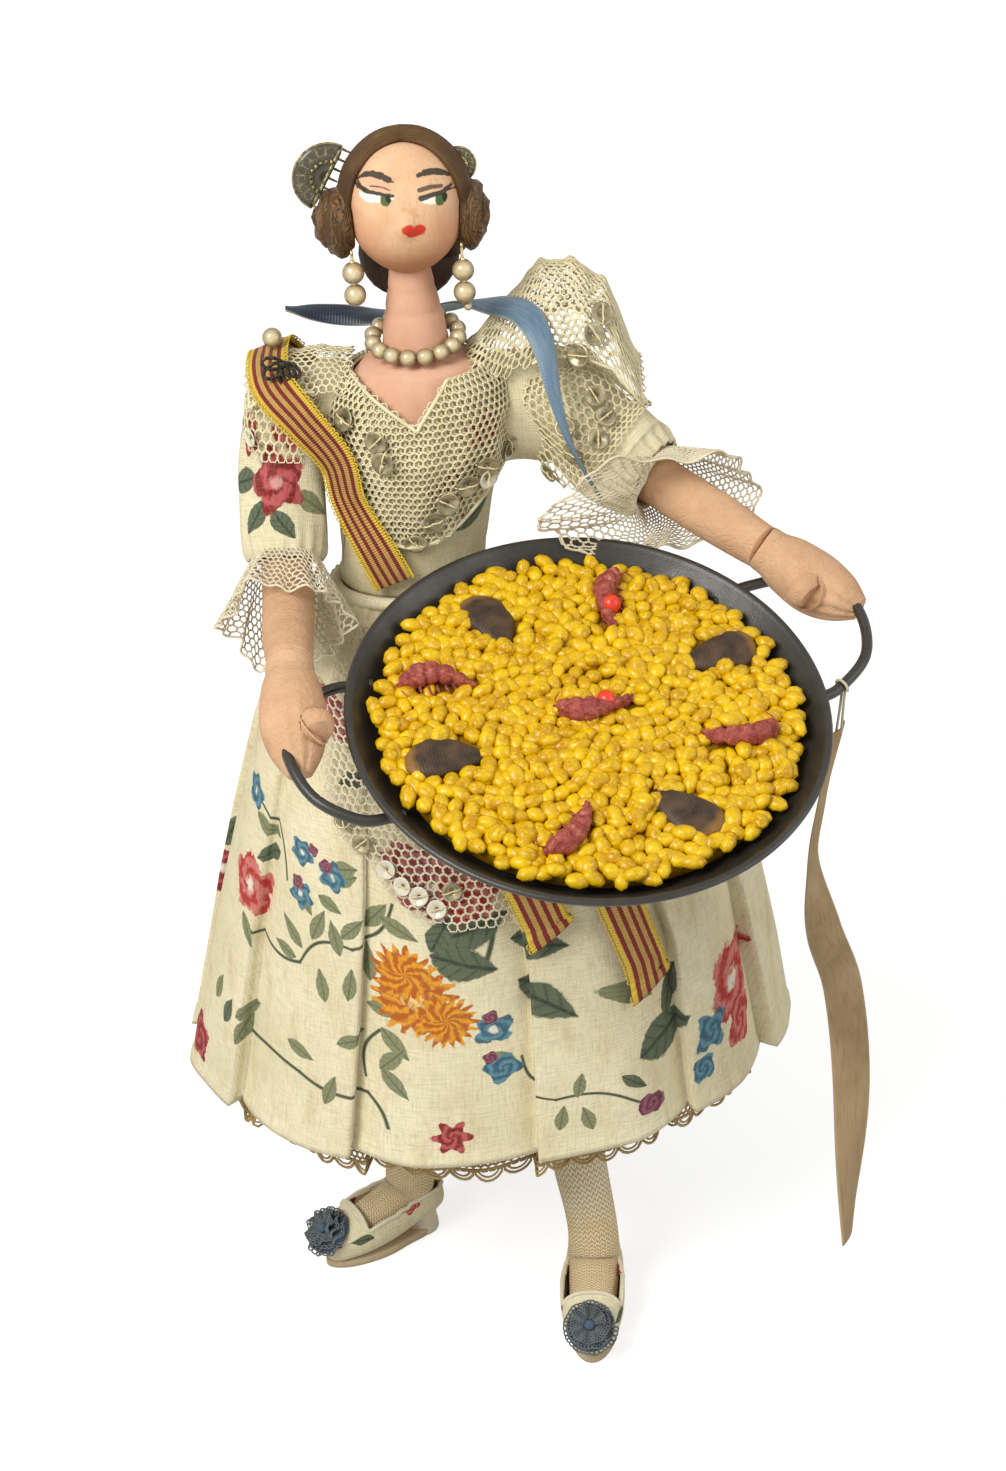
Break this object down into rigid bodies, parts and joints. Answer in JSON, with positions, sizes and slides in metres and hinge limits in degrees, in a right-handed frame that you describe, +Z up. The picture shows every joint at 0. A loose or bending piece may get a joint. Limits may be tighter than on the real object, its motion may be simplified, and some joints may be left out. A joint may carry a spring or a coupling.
{
  "type": "cloth doll with pan",
  "caption": "Standing cloth doll in festive skirt, net shawl and pearls, holding a small round pan of rice by its two wire handles, with a long paper tag.",
  "frame": {"origin": "middle of the footprint box, on the ground", "axes": "+Z up, the doll faces -Y, its right hand is on the -X side"},
  "size_m": [0.1466, 0.1662, 0.262],
  "materials": {
    "skin_cloth": "matt woven cotton, warm peach",
    "hair": "brown silky thread",
    "comb_metal": "dull grey-gold pressed sheet",
    "pearl": "pearly cream beads",
    "core_wire": "plain wire inside the stuffing",
    "net": "cream net with sequins",
    "printed_linen": "cream linen with a floral print",
    "sash_ribbon": "gold woven ribbon with dark red stripes",
    "blue_satin": "blue satin",
    "clip_wire": "dark wire",
    "petticoat_cloth": "plain cream cotton",
    "gold_lace": "gold-brown lace",
    "stocking_knit": "cream knit",
    "rosette_net": "gathered blue-grey net",
    "pan_metal": "dark enamelled sheet steel",
    "rice": "glossy yellow, varnished",
    "mussel": "dark brown, varnished",
    "shrimp": "dull red, varnished",
    "tag_paper": "plain tan-brown paper strip"
  },
  "bodies": {
    "figure": {"torso": "skin_cloth", "neck": "skin_cloth", "spine_wire": "core_wire", "shoulder_rod": "core_wire", "bodice": "printed_linen", "shawl": "net", "sash": "sash_ribbon", "sash_tail_short": "sash_ribbon", "sash_tail_long": "sash_ribbon", "neck_ribbon": "blue_satin", "shoulder_pin": "pearl", "shoulder_clip": "clip_wire", "necklace": "pearl", "skirt": "printed_linen", "petticoat": "petticoat_cloth", "petticoat_lace": "gold_lace", "apron": "net", "right_leg": "skin_cloth", "right_leg_wire": "core_wire", "right_stocking": "stocking_knit", "right_shoe": "printed_linen", "right_rosette": "rosette_net", "left_leg": "skin_cloth", "left_leg_wire": "core_wire", "left_stocking": "stocking_knit", "left_shoe": "printed_linen", "left_rosette": "rosette_net"},
    "head": {"head": "skin_cloth", "hair_cap": "hair", "hair_bun_right": "hair", "hair_bun_left": "hair", "hair_bun_nape": "hair", "comb_right": "comb_metal", "comb_left": "comb_metal"},
    "earring_right": {"earring_right": "pearl"},
    "earring_left": {"earring_left": "pearl"},
    "right_arm": {"right_arm": "skin_cloth", "right_arm_wire": "core_wire", "right_hand": "skin_cloth", "right_sleeve": "printed_linen", "right_cuff": "net"},
    "left_arm": {"left_arm": "skin_cloth", "left_arm_wire": "core_wire", "left_hand": "skin_cloth", "left_sleeve": "printed_linen", "left_cuff": "net"},
    "pan": {"pan": "pan_metal", "handle_right": "pan_metal", "handle_left": "pan_metal", "rice_bed": "rice", "mussel_1": "mussel", "mussel_2": "mussel", "mussel_3": "mussel", "mussel_4": "mussel", "shrimp_1": "shrimp", "shrimp_2": "shrimp", "shrimp_3": "shrimp", "shrimp_4": "shrimp", "shrimp_5": "shrimp"},
    "tag": {"tag": "tag_paper"}
  },
  "joints": [
    {"name": "right_shoulder", "type": "hinge", "parent": "figure", "child": "right_arm", "pos_m": [-0.01138, 0.02618, 0.207], "axis": [-1, 0, 0], "range_deg": [-2, 12]},
    {"name": "left_shoulder", "type": "hinge", "parent": "figure", "child": "left_arm", "pos_m": [-0.01138, 0.02618, 0.207], "axis": [-1, 0, 0], "range_deg": [-2, 12]},
    {"name": "pan_rock", "type": "hinge", "parent": "right_arm", "child": "pan", "pos_m": [-0.03975, -0.04264, 0.16995], "axis": [0.9373, 0.3474, 0.0286], "range_deg": [-3, 3]},
    {"name": "head_turn", "type": "hinge", "parent": "figure", "child": "head", "pos_m": [-0.01239, 0.02308, 0.235], "axis": [0, 0, 1], "range_deg": [-20, 20]},
    {"name": "earring_right_swing", "type": "hinge", "parent": "head", "child": "earring_right", "pos_m": [-0.02329, 0.01738, 0.2411], "axis": [1, 0, 0], "range_deg": [-10, 10]},
    {"name": "earring_left_swing", "type": "hinge", "parent": "head", "child": "earring_left", "pos_m": [-0.00198, 0.01738, 0.2411], "axis": [1, 0, 0], "range_deg": [-10, 10]},
    {"name": "tag_swing", "type": "hinge", "parent": "pan", "child": "tag", "pos_m": [0.06482, -0.02768, 0.16208], "axis": [0.7677, 0.5912, 0.2471], "range_deg": [-12, 12]}
  ],
  "couplings": [
    {"joint": "left_shoulder", "follows": "right_shoulder", "ratio": 1}
  ]
}
